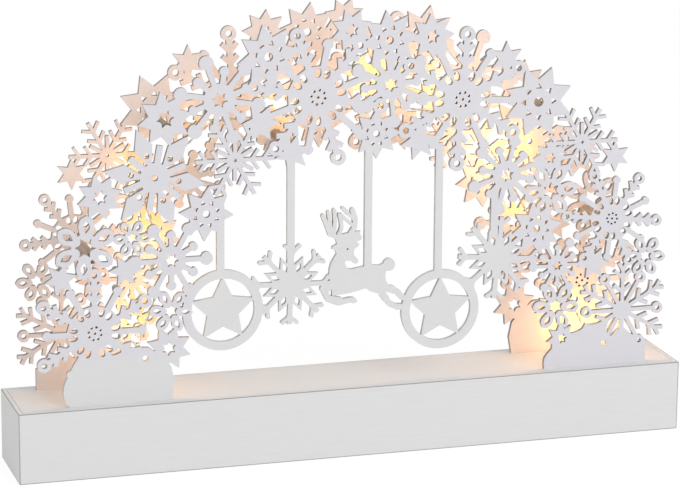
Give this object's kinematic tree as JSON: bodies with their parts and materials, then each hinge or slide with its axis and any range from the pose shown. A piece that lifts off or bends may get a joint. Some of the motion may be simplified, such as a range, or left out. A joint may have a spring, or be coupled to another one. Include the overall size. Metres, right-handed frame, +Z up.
{
  "type": "candle arch",
  "caption": "Lit window arch: two laser-cut plywood sheets of snowflake lace with a hanging winter scene on a long battery base.",
  "frame": {"origin": "under the middle of the base, on the plane it stands on", "axes": "+X along the base to the right as seen from the front, +Y to the back, +Z up"},
  "size_m": [0.45, 0.06, 0.2947],
  "materials": {
    "painted_front": "white painted plywood, satin",
    "painted_rear": "white painted plywood, satin",
    "painted_base": "white painted plywood, satin",
    "raw_wood": "raw wood",
    "box_plastic": "white moulded plastic",
    "dark_plastic": "dark moulded plastic",
    "card": "green circuit card",
    "cell": "plain cell jacket",
    "contact_metal": "nickel plated",
    "screw_metal": "zinc plated",
    "wire": "soft insulated twin wire",
    "lamp": "warm white diffusing dome",
    "collar": "white collar"
  },
  "bodies": {
    "root": {"front_board": "painted_base", "rear_board": "painted_base", "left_end_board": "painted_base", "right_end_board": "painted_base", "top_board": "painted_base", "bottom_board": "raw_wood", "corner_block_1": "raw_wood", "corner_block_2": "raw_wood", "corner_block_3": "raw_wood", "corner_block_4": "raw_wood", "front_sheet": "painted_front", "rear_sheet": "painted_rear", "spacer_dowel_1": "raw_wood", "spacer_dowel_2": "raw_wood", "spacer_dowel_3": "raw_wood", "spacer_dowel_4": "raw_wood", "spacer_dowel_5": "raw_wood", "spacer_dowel_6": "raw_wood", "battery_box": "box_plastic", "timer_card": "card", "cell_1": "cell", "cell_2": "cell", "contact_springs": "contact_metal", "contact_plates": "contact_metal", "wire_sleeve": "dark_plastic", "lamp_wire": "wire", "bottom_screws": "screw_metal", "lamp_1": "lamp", "lamp_2": "lamp", "lamp_3": "lamp", "lamp_4": "lamp", "lamp_5": "lamp", "lamp_6": "lamp", "lamp_7": "lamp", "lamp_8": "lamp", "lamp_9": "lamp", "lamp_10": "lamp", "lamp_collar_1": "collar", "lamp_collar_2": "collar", "lamp_collar_3": "collar", "lamp_collar_4": "collar", "lamp_collar_5": "collar", "lamp_collar_6": "collar", "lamp_collar_7": "collar", "lamp_collar_8": "collar", "lamp_collar_9": "collar", "lamp_collar_10": "collar"},
    "cover": {"battery_cover": "box_plastic"},
    "slider": {"switch_slider": "dark_plastic"}
  },
  "joints": [
    {"name": "cover_slide", "type": "slide", "parent": "root", "child": "cover", "axis": [1, 0, 0], "range_m": [0, 0.04]},
    {"name": "switch_slide", "type": "slide", "parent": "root", "child": "slider", "axis": [1, 0, 0], "range_m": [0, 0.005]}
  ]
}
